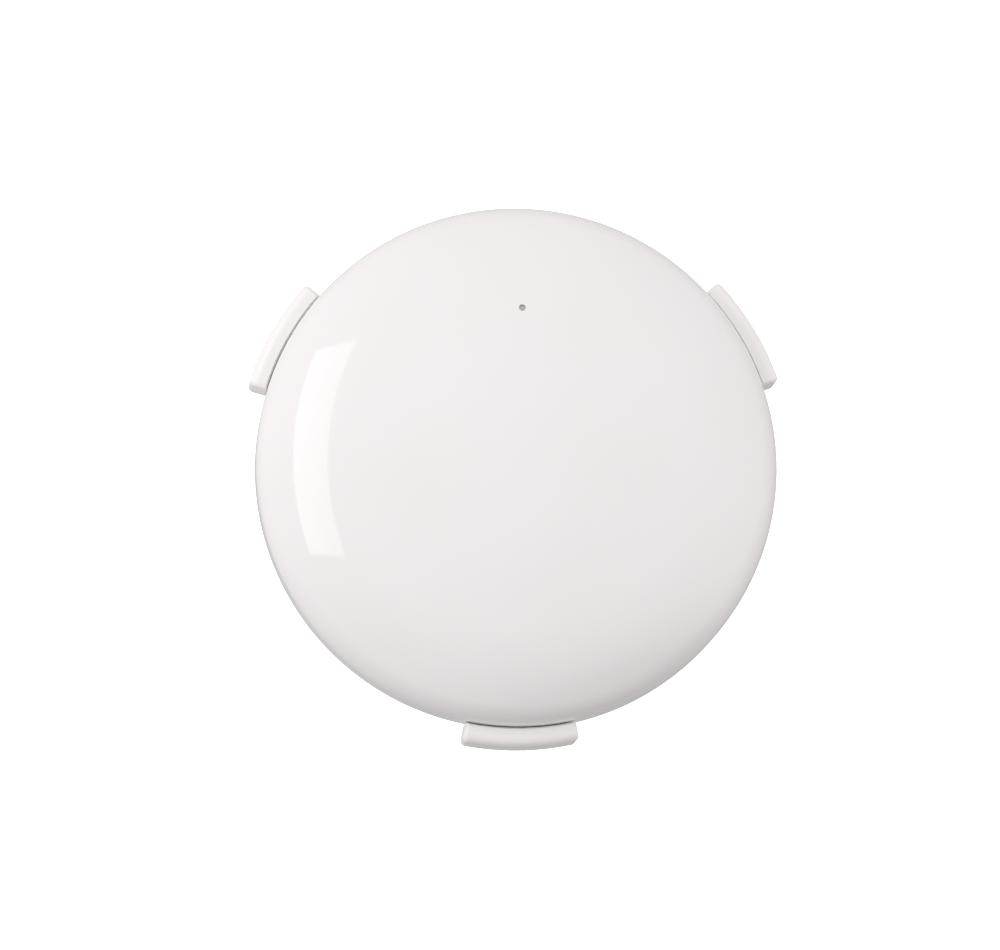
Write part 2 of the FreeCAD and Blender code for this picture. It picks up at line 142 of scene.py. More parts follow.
# %% Moulded plastics
def mixed(tree, amount, first, second):
    """A colour between two, by the amount that another node gives."""
    mix = add(tree, "ShaderNodeMix", {"data_type": "RGBA"}, {0: amount, 6: first, 7: second})
    return mix.outputs[2]      # a Mix node's colour sockets are its 6th, its 7th and its third output


def moulded(name, light, dark, grain, depth, roughness, ior):
    """A plastic with its mould's skin: grain and depth in metres, roughness from least to most."""
    material, tree = blank_material(name)
    place = add(tree, "ShaderNodeTexCoord").outputs["Object"]
    skin = add(tree, "ShaderNodeTexNoise", inputs={"Vector": place, "Scale": 1 / grain, "Detail": 2.0})
    flow = add(tree, "ShaderNodeTexNoise", inputs={"Vector": place, "Scale": 1 / FLOW_WIDTH, "Detail": 1.0})
    gloss = add(tree, "ShaderNodeMapRange", inputs={
        "Value": skin.outputs["Fac"], "To Min": roughness[0], "To Max": roughness[1]})
    bump = add(tree, "ShaderNodeBump", inputs={"Height": skin.outputs["Fac"], "Distance": depth})
    shader = add(tree, "ShaderNodeBsdfPrincipled", inputs={
        "Base Color": mixed(tree, flow.outputs["Fac"], linear(light), linear(dark)),
        "Roughness": gloss.outputs["Result"], "IOR": ior, "Normal": bump.outputs["Normal"]})
    add(tree, "ShaderNodeOutputMaterial", inputs={"Surface": shader.outputs["BSDF"]})
    return material


FLOW_WIDTH = 9 * MM            # how far apart the pigment's slow drifts lie
ABS_IOR, NYLON_IOR, EPOXY_IOR, SILICONE_IOR = 1.53, 1.53, 1.55, 1.41

gloss_white = moulded("abs_polished_mould", "#F8F3F4", "#F5F0F0", 2.2 * MM, 0.0006 * MM,
                      (0.05, 0.08), ABS_IOR)

# %% [markdown]
# ## The other moulded pieces
#
# The same plastic looks different from another mould. The back and its lugs come from one that was blasted
# with fine glass beads, so their shine is softer. Their white is set lighter than the cover's, as painted
# light for the shade that the dome throws on the lugs. The frame inside is nylon from a mould left as the
# spark machine cut it, which is matt. Chips are epoxy, moulded against a rougher die still. A real bead mark
# is about 0.05 mm across, and it is drawn at 0.12 mm, because a finer one would vanish in the picture.

# %% Back, frame, chips and small mouldings
# The back's white is lighter than the cover's: painted light for the shade that the dome throws on its lugs.
satin_white_painted_light = moulded("abs_bead_blasted_mould_painted_light", "#FCF8F8", "#F9F5F4", 0.12 * MM, 0.0012 * MM,
                      (0.2, 0.28), ABS_IOR)
matt_nylon = moulded("nylon_spark_eroded_mould", "#E9E7E0", "#E0DED6", 0.15 * MM, 0.012 * MM,
                     (0.5, 0.65), NYLON_IOR)
chip_epoxy = moulded("epoxy_moulded_chip", "#26262A", "#1B1B1E", 0.08 * MM, 0.008 * MM, (0.5, 0.7), EPOXY_IOR)
sounder_polymer = moulded("liquid_crystal_polymer_moulded", "#2B2A2C", "#201F22", 0.3 * MM, 0.006 * MM,
                          (0.42, 0.58), 1.6)
button_nylon = moulded("nylon_black_moulded", "#34343A", "#2A2A2E", 0.2 * MM, 0.004 * MM,
                       (0.35, 0.5), NYLON_IOR)
gasket_polypropylene = moulded("polypropylene_black_moulded", "#3A3A3D", "#303033", 0.25 * MM, 0.006 * MM,
                               (0.4, 0.55), 1.49)
electrode_powder = moulded("manganese_dioxide_pressed", "#4A4A4C", "#38383A", 0.1 * MM, 0.02 * MM,
                           (0.8, 0.95), 1.5)

# %% [markdown]
# ## Silicone: the seals and the press pad
#
# Cast silicone rubber is soft to look at as well as to touch. Light goes a little way in and comes out
# beside where it went in, so its edges glow, and its skin is matt and takes on dust. A little subsurface
# light gives the first and a high, uneven roughness the second.

# %% Silicone
def silicone(name, light, dark):
    material, tree = blank_material(name)
    place = add(tree, "ShaderNodeTexCoord").outputs["Object"]
    dust = add(tree, "ShaderNodeTexNoise", inputs={"Vector": place, "Scale": 1 / (0.4 * MM), "Detail": 3.0})
    dull = add(tree, "ShaderNodeMapRange", inputs={
        "Value": dust.outputs["Fac"], "To Min": 0.55, "To Max": 0.75})
    bump = add(tree, "ShaderNodeBump", inputs={"Height": dust.outputs["Fac"], "Distance": 0.004 * MM})
    shader = add(tree, "ShaderNodeBsdfPrincipled", inputs={
        "Base Color": mixed(tree, dust.outputs["Fac"], linear(light), linear(dark)),
        "Roughness": dull.outputs["Result"], "IOR": SILICONE_IOR, "Subsurface Weight": 0.3,
        "Subsurface Scale": 0.4 * MM, "Normal": bump.outputs["Normal"]})
    add(tree, "ShaderNodeOutputMaterial", inputs={"Surface": shader.outputs["BSDF"]})
    return material


grey_silicone = silicone("silicone_grey_cast", "#8A8C90", "#7C7E83")
white_silicone = silicone("silicone_white_cast", "#EDEBE6", "#E2E0DA")

# %% [markdown]
# ## Clear plastics: the light pipe, the light's lens and the insulating film
#
# The pinhole looks grey and not black, because a clear polycarbonate pipe fills it. Its face is frosted where
# it was cut from its sprue, and lies 0.2 mm down the hole, so the eye gets a soft grey with a darker edge.
# The light's own lens is yellowish epoxy, because a blue die under yellow phosphor makes the white light.
# The insulating film is amber polyimide.

# %% Clear plastics
def see_through(name, light, dark, roughness, clearness, ior, speck):
    """A clear plastic: clearness is how much light goes through, speck the size of the haze in it."""
    material, tree = blank_material(name)
    place = add(tree, "ShaderNodeTexCoord").outputs["Object"]
    haze = add(tree, "ShaderNodeTexNoise", inputs={"Vector": place, "Scale": 1 / speck, "Detail": 2.0})
    rough = add(tree, "ShaderNodeMapRange", inputs={
        "Value": haze.outputs["Fac"], "To Min": roughness[0], "To Max": roughness[1]})
    bump = add(tree, "ShaderNodeBump", inputs={"Height": haze.outputs["Fac"], "Distance": 0.002 * MM})
    shader = add(tree, "ShaderNodeBsdfPrincipled", inputs={
        "Base Color": mixed(tree, haze.outputs["Fac"], linear(light), linear(dark)),
        "Roughness": rough.outputs["Result"], "IOR": ior, "Transmission Weight": clearness,
        "Normal": bump.outputs["Normal"]})
    add(tree, "ShaderNodeOutputMaterial", inputs={"Surface": shader.outputs["BSDF"]})
    return material


frosted_pipe = see_through("polycarbonate_cut_sprue", "#E4E0DF", "#D2CECD", (0.3, 0.5), 0.25, 1.585,
                           0.25 * MM)
phosphor_lens = see_through("epoxy_phosphor_cast", "#F2E9B8", "#E6D98F", (0.2, 0.35), 0.3, 1.53, 0.15 * MM)
amber_film = see_through("polyimide_film", "#C8792A", "#B56A20", (0.15, 0.25), 0.4, 1.7, 1.0 * MM)

# %% [markdown]
# ## Metals
#
# Sheet metal keeps the marks of the rolls that thinned it: fine straight lines along the strip. Plating
# follows those lines and evens them out. A metal reflects everything in its own colour, so it gets its look
# from metallic at one, a typical colour, and the lines in roughness and bump. Real roll lines are about
# 0.01 mm apart, and they are drawn at 0.06 mm so that they can be seen.

# %% Metals
def rolled_metal(name, light, dark, roughness, line=0.06 * MM, stretch=12.0):
    """A metal with roll lines: line is their spacing, stretch how many times longer they are than that."""
    material, tree = blank_material(name)
    place = add(tree, "ShaderNodeTexCoord").outputs["Object"]
    along = add(tree, "ShaderNodeMapping", inputs={"Vector": place, "Scale": (1 / stretch, 1.0, 1.0)})
    lines = add(tree, "ShaderNodeTexNoise", inputs={
        "Vector": along.outputs["Vector"], "Scale": 1 / line, "Detail": 2.0})
    rough = add(tree, "ShaderNodeMapRange", inputs={
        "Value": lines.outputs["Fac"], "To Min": roughness[0], "To Max": roughness[1]})
    bump = add(tree, "ShaderNodeBump", inputs={"Height": lines.outputs["Fac"], "Distance": 0.001 * MM})
    shader = add(tree, "ShaderNodeBsdfPrincipled", inputs={
        "Base Color": mixed(tree, lines.outputs["Fac"], linear(light), linear(dark)),
        "Metallic": 1.0, "Roughness": rough.outputs["Result"], "Normal": bump.outputs["Normal"]})
    add(tree, "ShaderNodeOutputMaterial", inputs={"Surface": shader.outputs["BSDF"]})
    return material


nickel_steel = rolled_metal("steel_nickel_plated", "#D8D6D2", "#C4C2BD", (0.22, 0.36))
zinc_steel = rolled_metal("steel_zinc_plated", "#C9CBD0", "#B2B5BC", (0.28, 0.42), 0.1 * MM, 2.0)
spring_steel = rolled_metal("stainless_spring_rolled", "#CFCFD1", "#BABABD", (0.18, 0.3))
tinned_copper = rolled_metal("copper_tinned", "#D9DADC", "#C7C8CB", (0.25, 0.4), 0.1 * MM, 3.0)
gold_bronze = rolled_metal("phosphor_bronze_gold_plated", "#E8C37A", "#D9AF62", (0.2, 0.32))
rolled_brass = rolled_metal("brass_rolled", "#D9B56A", "#C7A055", (0.25, 0.38))
crystal_nickel = rolled_metal("kovar_nickel_plated", "#D2CFC6", "#C0BDB3", (0.3, 0.42), 0.08 * MM, 1.5)

# %% [markdown]
# ## The circuit board
#
# A board is glass cloth in epoxy with copper tracks, under a coat of green solder mask. The mask lies over
# the tracks like paint over string, so each track is a slightly raised, paler line. Brick courses make a
# fair pattern of tracks, because real ones also run straight, turn square and keep their distance. Small
# tinned holes (vias) join the two sides.

# %% Circuit board
TRACK_PITCH, TRACK_LENGTH, TRACK_WIDTH = 0.55 * MM, 3.2 * MM, 0.14 * MM
VIA_SPACING, VIA_RADIUS = 1.9 * MM, 0.16 * MM


def board_laminate():
    material, tree = blank_material("glass_epoxy_green_solder_mask")
    place = add(tree, "ShaderNodeTexCoord").outputs["Object"]
    tracks = add(tree, "ShaderNodeTexBrick", inputs={
        "Vector": place, "Scale": 1.0, "Brick Width": TRACK_LENGTH, "Row Height": TRACK_PITCH,
        "Mortar Size": TRACK_WIDTH / 2, "Mortar Smooth": 0.3, "Color1": linear("#1D5A3C"),
        "Color2": linear("#1A5438"), "Mortar": linear("#2F7A52")})
    vias = add(tree, "ShaderNodeTexVoronoi", {"voronoi_dimensions": "2D"},
               {"Vector": place, "Scale": 1 / VIA_SPACING, "Randomness": 0.6})
    in_via = add(tree, "ShaderNodeMath", {"operation": "LESS_THAN"},
                 {0: vias.outputs["Distance"], 1: VIA_RADIUS / VIA_SPACING}).outputs[0]
    weave = add(tree, "ShaderNodeTexNoise", inputs={"Vector": place, "Scale": 1 / (0.3 * MM)})
    rough = add(tree, "ShaderNodeMapRange", inputs={
        "Value": weave.outputs["Fac"], "To Min": 0.3, "To Max": 0.45})
    bump = add(tree, "ShaderNodeBump", inputs={"Height": tracks.outputs["Fac"], "Distance": 0.02 * MM})
    shader = add(tree, "ShaderNodeBsdfPrincipled", inputs={
        "Base Color": mixed(tree, in_via, tracks.outputs["Color"], linear("#C9C9C6")),
        "Metallic": in_via, "Roughness": rough.outputs["Result"], "IOR": EPOXY_IOR,
        "Normal": bump.outputs["Normal"]})
    add(tree, "ShaderNodeOutputMaterial", inputs={"Surface": shader.outputs["BSDF"]})
    return material


board_green = board_laminate()

# %% [markdown]
# ## Ceramics and foam
#
# Capacitors are layers of fired barium titanate, tan and finely speckled. The antenna is a glazed white
# ceramic. The battery pad is a fine-celled foam: each cell is a small cup, 0.25 mm across, that holds its
# own shadow. Cell texture gives both: small cells as speckles, larger ones as cups.

# %% Ceramics and foam
def celled(name, light, dark, cell, depth, roughness, ior):
    """A material of small cells: cell is their size, depth how deep they are pressed in."""
    material, tree = blank_material(name)
    place = add(tree, "ShaderNodeTexCoord").outputs["Object"]
    cells = add(tree, "ShaderNodeTexVoronoi", inputs={"Vector": place, "Scale": 1 / cell})
    rough = add(tree, "ShaderNodeMapRange", inputs={
        "Value": cells.outputs["Distance"], "To Min": roughness[0], "To Max": roughness[1]})
    bump = add(tree, "ShaderNodeBump", inputs={"Height": cells.outputs["Distance"], "Distance": depth})
    shader = add(tree, "ShaderNodeBsdfPrincipled", inputs={
        "Base Color": mixed(tree, cells.outputs["Distance"], linear(light), linear(dark)),
        "Roughness": rough.outputs["Result"], "IOR": ior, "Normal": bump.outputs["Normal"]})
    add(tree, "ShaderNodeOutputMaterial", inputs={"Surface": shader.outputs["BSDF"]})
    return material


capacitor_ceramic = celled("barium_titanate_fired", "#A9855C", "#8C6B46", 0.08 * MM, 0.003 * MM,
                           (0.35, 0.5), 2.0)
antenna_ceramic = celled("alumina_glazed", "#EEF1F3", "#DDE3E8", 0.12 * MM, 0.001 * MM, (0.12, 0.22), 1.76)
cell_foam = celled("polyurethane_fine_foam", "#2E2E30", "#141416", 0.25 * MM, 0.08 * MM, (0.85, 0.95), 1.45)

# %% [markdown]
# ## Who wears what
#
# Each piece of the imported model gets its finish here. The pieces keep their own meshes, apart from the
# cover, its gasket and the switch's snap dome, which are built again further down.

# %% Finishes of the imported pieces
finishes = {
    gloss_white: ["top_cover"],
    satin_white_painted_light: ["back_cover"],
    matt_nylon: ["inner_frame"],
    frosted_pipe: ["light_pipe"],
    grey_silicone: ["switch_pad", "back_o_ring"],
    white_silicone: ["cover_gasket"],
    board_green: ["circuit_board"],
    zinc_steel: ["board_screws"],
    chip_epoxy: ["switch_housing", "radio_chip", "motion_sensor", "board_resistors"],
    tinned_copper: ["switch_terminals"],
    spring_steel: ["switch_snap_dome"],
    button_nylon: ["switch_plunger"],
    crystal_nickel: ["timing_crystal"],
    antenna_ceramic: ["chip_antenna"],
    phosphor_lens: ["status_led"],
    sounder_polymer: ["sounder_case"],
    rolled_brass: ["sounder_diaphragm"],
    capacitor_ceramic: ["board_capacitors"],
    amber_film: ["board_insulator"],
    gold_bronze: ["negative_contact", "positive_contact"],
    nickel_steel: ["cell_can", "cell_cap"],
    gasket_polypropylene: ["cell_gasket"],
    electrode_powder: ["cell_core"],
    cell_foam: ["battery_pad"],
}
for material, names in finishes.items():
    for name in names:
        nodes[name].data.materials.clear()
        nodes[name].data.materials.append(material)
print(f"{len(finishes)} materials on {sum(map(len, finishes.values()))} pieces")

# %% [markdown]
# ## The dome's outline
#
# The cover's outline is three arcs, each running smoothly into the next: a very flat crown, a shoulder and
# a tight rim, with an upright skirt under it. A gloss surface shows every kink as a broken reflection,
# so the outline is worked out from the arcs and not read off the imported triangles. A point on it is found
# from the slope there, from 0 at the top to a right angle at the rim, and an inset gives the inner wall.

# %% Outline from three arcs
CROWN_SLOPE, RIM_SLOPE, UPRIGHT = math.radians(14), math.radians(38), math.radians(90)
RIM_ROUND = 3.4 * MM
SHOULDER_HEIGHT = 4.9 * MM
COVER_WALL = 1.2 * MM

reach = tag_radius - RIM_ROUND * (1 - math.sin(RIM_SLOPE))
climb = tag_height - SHOULDER_HEIGHT - RIM_ROUND * math.cos(RIM_SLOPE)
sideways = math.sin(RIM_SLOPE) - math.sin(CROWN_SLOPE)
downwards = math.cos(CROWN_SLOPE) - math.cos(RIM_SLOPE)
crown_fall = 1 - math.cos(CROWN_SLOPE)
shoulder_round = ((climb * math.sin(CROWN_SLOPE) - reach * crown_fall)
                  / (downwards * math.sin(CROWN_SLOPE) - sideways * crown_fall))
crown_round = (reach - shoulder_round * sideways) / math.sin(CROWN_SLOPE)
crown_centre = (0.0, tag_height - crown_round)
shoulder_centre = (math.sin(CROWN_SLOPE) * (crown_round - shoulder_round),
                   crown_centre[1] + math.cos(CROWN_SLOPE) * (crown_round - shoulder_round))
rim_centre = (tag_radius - RIM_ROUND, SHOULDER_HEIGHT)
ARCS = ((CROWN_SLOPE, crown_centre, crown_round), (RIM_SLOPE, shoulder_centre, shoulder_round),
        (UPRIGHT, rim_centre, RIM_ROUND))


def dome_point(slope, inset=0.0):
    """The (radius, height) of the dome's surface where it slopes so much, or of its inner wall."""
    for last_slope, centre, curve in ARCS:
        if slope <= last_slope + 1e-9:
            reach_here = curve - inset
            return (centre[0] + reach_here * math.sin(slope), centre[1] + reach_here * math.cos(slope))


def dome_slope(radius, inset=0.0):
    """The slope of the dome's surface, or of its inner wall, at a distance from the axis."""
    for last_slope, centre, curve in ARCS:
        sine = (radius - centre[0]) / (curve - inset)
        if sine <= math.sin(last_slope) + 1e-9:
            return math.asin(min(1.0, sine))
    return UPRIGHT


def dome_stretch(start, end, inset, steps):
    """Points along the dome between two slopes, both ends included."""
    return [dome_point(start + (end - start) * i / steps, inset) for i in range(steps + 1)]


print(f"radii in mm: crown {crown_round / MM:.1f}, shoulder {shoulder_round / MM:.1f}, "
      f"rim {RIM_ROUND / MM:.1f}")

# %% [markdown]
# ## Turning the dome
#
# A moulded round shell is drawn once in section and turned, as on a lathe. The section runs from the top
# of the dome down the outside, round the skirt's lower edge and back up inside, past two ribs: one presses
# on the silicone gasket, the other on the switch. The skirt's outer lower edge is rounded, so that it
# catches a thread of light over the gap to the back.

# %% The cover's section
SKIRT_ROUND = 0.25 * MM
RIB_CLEARANCE = 0.02 * MM
RIB_WIDTH = 0.8 * MM
POST_INNER, POST_OUTER = 1.1 * MM, 2.0 * MM
TURN_STEPS = 240

gasket_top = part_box("cover_gasket")[1]
pad_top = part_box("switch_pad")[1].z
skirt_edge = cover_low.z
skirt_inside = tag_radius - COVER_WALL


def with_rib(outer_radius, inner_radius, rib_end):
    """The two corners of a rib's free end, on the way in towards the axis."""
    return [(outer_radius, rib_end), (inner_radius, rib_end)]


rib_outer, rib_inner = gasket_top.x, gasket_top.x - RIB_WIDTH
section = dome_stretch(0, CROWN_SLOPE, 0, 40)
section += dome_stretch(CROWN_SLOPE, RIM_SLOPE, 0, 32)[1:]
section += dome_stretch(RIM_SLOPE, UPRIGHT, 0, 24)[1:]
for step in range(7):
    turn = UPRIGHT * step / 6
    section.append((tag_radius - SKIRT_ROUND * (1 - math.cos(turn)),
                    skirt_edge + SKIRT_ROUND * (1 - math.sin(turn))))
section.append((skirt_inside, skirt_edge))
section += dome_stretch(UPRIGHT, dome_slope(rib_outer, COVER_WALL), COVER_WALL, 8)
section += with_rib(rib_outer, rib_inner, gasket_top.z + RIB_CLEARANCE)
section += dome_stretch(dome_slope(rib_inner, COVER_WALL), dome_slope(POST_OUTER, COVER_WALL), COVER_WALL, 40)
section += with_rib(POST_OUTER, POST_INNER, pad_top)
section += dome_stretch(dome_slope(POST_INNER, COVER_WALL), 0, COVER_WALL, 4)


def turned(name, outline, steps=TURN_STEPS, closed=False):
    """An object made by turning (radius, height) points: from axis to axis, or a closed ring section."""
    shape = bmesh.new()
    rings = []
    for radius, height in outline:
        count = steps if radius > 1e-7 else 1
        angles = [math.tau * k / steps for k in range(count)]
        rings.append([shape.verts.new((radius * math.cos(a), radius * math.sin(a), height)) for a in angles])
    for upper, lower in zip(rings, rings[1:] + (rings[:1] if closed else [])):
        for k in range(steps):
            corners = [upper[k % len(upper)], lower[k % len(lower)],
                       lower[(k + 1) % len(lower)], upper[(k + 1) % len(upper)]]
            shape.faces.new(list(dict.fromkeys(corners)))
    bmesh.ops.recalc_face_normals(shape, faces=shape.faces)
    mesh = bpy.data.meshes.new(name)
    shape.to_mesh(mesh)
    shape.free()
    made = bpy.data.objects.new(name, mesh)
    bpy.context.scene.collection.objects.link(made)
    return made


cover_shell = turned("cover_shell", section)
print(f"turned {len(section)} outline points into {len(cover_shell.data.polygons)} faces")

# %% [markdown]
# ## The pinhole, its boss and the snap beads
#
# The light pipe sits in a small boss under the pinhole, and three beads inside the skirt snap into the
# frame. These aren't round about the axis, so they are joined to the shell, and the holes are cut, with
# Boolean modifiers that are applied at once. The pinhole's mouth is flared by a few hundredths of a
# millimetre, because no moulded edge is perfectly sharp.

# %% Boss, bore, pinhole and beads
BOSS_RADIUS, BOSS_FOOT_RISE = 1.7 * MM, 0.3 * MM
BOSS_TOP_DEPTH = 2.0 * MM      # its top ends inside the wall, or it would show outside
BORE_RADIUS, BORE_TOP = 0.9 * MM, 9.7 * MM
PINHOLE_RADIUS, PINHOLE_FLARE = 0.25 * MM, 0.015 * MM
BEAD_AZIMUTHS, BEAD_HALF_SPAN = (90, 210, 330), 9
BEAD_LOW, BEAD_HIGH, BEAD_DEPTH = 2.35 * MM, 2.8 * MM, 0.6 * MM
BEAD_STEPS = 12
BITE = 0.1 * MM                # how far a tool reaches into what it joins or opens

pipe_low, pipe_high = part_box("light_pipe")
pipe_axis = Vector(((pipe_low.x + pipe_high.x) / 2, (pipe_low.y + pipe_high.y) / 2, 0))


def carve(body, tool, operation):
    """Joins the tool to the body or cuts it away, and uses the tool up."""
    modifier = body.modifiers.new(operation.lower(), "BOOLEAN")
    modifier.operation, modifier.solver, modifier.object = operation, "EXACT", tool
    bpy.context.view_layer.update()
    result = bpy.data.meshes.new_from_object(body.evaluated_get(bpy.context.evaluated_depsgraph_get()))
    body.modifiers.clear()
    body.data = result
    bpy.data.objects.remove(tool)


def on_pipe_axis(name, outline):
    tool = turned(name, outline, 64)
    tool.location = pipe_axis
    return tool


def bead(azimuth):
    """A short rib of rectangular section inside the skirt."""
    shape = bmesh.new()
    slices = []
    for step in range(BEAD_STEPS + 1):
        angle = math.radians(azimuth + BEAD_HALF_SPAN * (2 * step / BEAD_STEPS - 1))
        corners = [(skirt_inside - BEAD_DEPTH, BEAD_LOW), (skirt_inside + BITE, BEAD_LOW),
                   (skirt_inside + BITE, BEAD_HIGH), (skirt_inside - BEAD_DEPTH, BEAD_HIGH)]
        slices.append([shape.verts.new((r * math.cos(angle), r * math.sin(angle), z)) for r, z in corners])
    for one, two in zip(slices, slices[1:]):
        for k in range(4):
            shape.faces.new((one[k], one[k - 1], two[k - 1], two[k]))
    shape.faces.new(slices[0])
    shape.faces.new(slices[-1][::-1])
    bmesh.ops.recalc_face_normals(shape, faces=shape.faces)
    mesh = bpy.data.meshes.new("bead")
    shape.to_mesh(mesh)
    shape.free()
    made = bpy.data.objects.new("bead", mesh)
    bpy.context.scene.collection.objects.link(made)
    return made


# %% [markdown]
# ## Joining and cutting
#
# Plastic is added first and cut away second: the boss and beads join the shell, then the
# bore opens the boss from below, and the pinhole opens the bore from above.

# %% Carve the cover
def rod(radius, low, high):
    """The outline of a plain rod, to be turned about its axis."""
    return [(0, low), (radius, low), (radius, high), (0, high)]


mouth = dome_point(dome_slope(pipe_axis.y))[1]
wide_mouth = PINHOLE_RADIUS + 2 * PINHOLE_FLARE
pinhole_outline = [
    (0, BORE_TOP - BITE),
    (PINHOLE_RADIUS, BORE_TOP - BITE),
    (PINHOLE_RADIUS, mouth - 2 * PINHOLE_FLARE),
    (PINHOLE_RADIUS + 0.4 * PINHOLE_FLARE, mouth - 0.6 * PINHOLE_FLARE),
    (wide_mouth, mouth + PINHOLE_FLARE),
    (wide_mouth, tag_height + MM),
    (0, tag_height + MM)]
boss_outline = rod(BOSS_RADIUS, pipe_low.z + BOSS_FOOT_RISE, tag_height - BOSS_TOP_DEPTH)
carve(cover_shell, on_pipe_axis("boss", boss_outline), "UNION")
for azimuth in BEAD_AZIMUTHS:
    carve(cover_shell, bead(azimuth), "UNION")
carve(cover_shell, on_pipe_axis("bore", rod(BORE_RADIUS, pipe_low.z, BORE_TOP)), "DIFFERENCE")
carve(cover_shell, on_pipe_axis("pinhole", pinhole_outline), "DIFFERENCE")
print(f"the cover has {len(cover_shell.data.polygons)} faces after carving")

# %% [markdown]
# ## A true gloss
#
# Where the holes were cut, the faces are long and uneven, and averaged shading would dent the reflections
# there. The dome's true normal is known at every point from its outline, so the corners on the dome get
# it outright. Every other face is shaded smooth, with a crease wherever it turns by more than 35 degrees.

# %% Exact shading on the dome
CREASE = math.radians(35)
ON_SURFACE = 0.002 * MM        # how close to the dome's outline a corner must lie to be on it
SAME_SIDE = 0.97               # how well a face must agree with the dome's normal, as a cosine


def true_normal(point):
    slope = dome_slope(math.hypot(point.x, point.y))
    azimuth = math.atan2(point.y, point.x)
    return Vector((math.sin(slope) * math.cos(azimuth), math.sin(slope) * math.sin(azimuth), math.cos(slope)))


def on_dome(point):
    radius = math.hypot(point.x, point.y)
    return abs(point.z - dome_point(dome_slope(radius))[1]) < ON_SURFACE and point.z >= SHOULDER_HEIGHT


shell = cover_shell.data
shell.polygons.foreach_set("use_smooth", [True] * len(shell.polygons))
shell.set_sharp_from_angle(angle=CREASE)
corner_normals = [Vector((0, 0, 0))] * len(shell.loops)
for face in shell.polygons:
    for corner in face.loop_indices:
        place = shell.vertices[shell.loops[corner].vertex_index].co
        if on_dome(place) and face.normal.dot(true_normal(place)) > SAME_SIDE:
            corner_normals[corner] = true_normal(place)
shell.normals_split_custom_set(corner_normals)
shell.materials.clear()
shell.materials.append(gloss_white)
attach(cover_shell, "cover")
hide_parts("top_cover")
print(f"{sum(n.length > 0 for n in corner_normals)} corners carry the dome's own normal")

# %% [markdown]
# ## Two pieces that give
#
# Pressing the dome moves it by 0.2 mm. The silicone gasket under its rib is squeezed by as much, and the
# switch's steel cap clicks nearly flat under the plunger. Rigid pieces would cut into each other there, and
# both are made here again as fine meshes. The gasket's section has rounded corners, as cast silicone has.
# The cap is a shallow slice of a thin hollow ball.

# %% Gasket and snap dome
GASKET_ROUND = 0.2 * MM
CAP_METAL = 0.06 * MM


def flattens(piece, node, finish):
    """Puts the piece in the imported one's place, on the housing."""
    piece.data.materials.append(finish)
    piece.data.polygons.foreach_set("use_smooth", [True] * len(piece.data.polygons))
    piece.data.set_sharp_from_angle(angle=CREASE)
    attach(piece, "housing")
    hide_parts(node)
    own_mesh(piece)


gasket_low, gasket_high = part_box("cover_gasket")
gasket_corners = ((gasket_high.x, gasket_high.z, 0), (gasket_high.x - RIB_WIDTH, gasket_high.z, 1),
                  (gasket_high.x - RIB_WIDTH, gasket_low.z, 2), (gasket_high.x, gasket_low.z, 3))
gasket_section = []
for radius, height, quarter in gasket_corners:
    inward = GASKET_ROUND if quarter in (1, 2) else -GASKET_ROUND
    downward = GASKET_ROUND if quarter in (2, 3) else -GASKET_ROUND
    for step in range(7):
        turn = UPRIGHT * (quarter + step / 6)
        gasket_section.append((radius + inward + GASKET_ROUND * math.cos(turn),
                               height + downward + GASKET_ROUND * math.sin(turn)))
flattens(turned("gasket_ring", gasket_section, closed=True), "cover_gasket", white_silicone)

cap_low, cap_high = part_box("switch_snap_dome")
cap_reach, cap_bulge = cap_high.x, cap_high.z - cap_low.z
ball = (cap_reach ** 2 + cap_bulge ** 2) / (2 * cap_bulge)
ball_centre = cap_high.z - ball


def cap_arc(curve, steps=12):
    """Points on the cap's outer or inner face, from the axis to its foot."""
    foot = math.acos((cap_low.z - ball_centre) / curve)
    return [(curve * math.sin(foot * i / steps), ball_centre + curve * math.cos(foot * i / steps))
            for i in range(steps + 1)]


cap_section = cap_arc(ball) + cap_arc(ball - CAP_METAL)[::-1]
flattens(turned("snap_cap", cap_section, 64), "switch_snap_dome", spring_steel)

# %% [markdown]
# ## The studio's soft light
#
# A gloss white object shows its room. A white room with one side a little darker gives the dome its slow
# shading, and that shading is all that tells the eye how it curves. So the light comes from every direction,
# set by direction: a base level, a gentle tilt, a brighter patch low on one side, and a darker one where a
# dark side wall would stand. Each patch is a cosine raised to a power: the higher, the smaller.

# %% The room's light
ROOM_LEVEL = 0.823
ROOM_TILT = (-0.286, 0.131, 0.137)
DARK_SIDE, DARK_DEPTH, DARK_FOCUS = math.radians(300), 3.0, 9.4
PATCH_SIDE, PATCH_GLOW, PATCH_FOCUS = math.radians(-13), 1.54, 4.5

world = bpy.data.worlds.new("white_room")
world.use_nodes = True
tree = world.node_tree
tree.nodes.clear()
direction = add(tree, "ShaderNodeTexCoord").outputs["Generated"]


def sum_up(operation, first, second):
    """The result of one sum between two numbers or sockets of the room's light."""
    return add(tree, "ShaderNodeMath", {"operation": operation}, {0: first, 1: second}).outputs[0]


def along(towards):
    """How far the direction of view points along another one."""
    return add(tree, "ShaderNodeVectorMath", {"operation": "DOT_PRODUCT"},
               {0: direction, 1: towards}).outputs["Value"]


def patch(azimuth, rise, focus, strength):
    """A soft round patch of light in one direction."""
    towards = Vector((math.cos(azimuth), math.sin(azimuth), rise)).normalized()
    front = sum_up("MAXIMUM", along(towards), 0.0)
    return sum_up("MULTIPLY", sum_up("POWER", front, focus), strength)


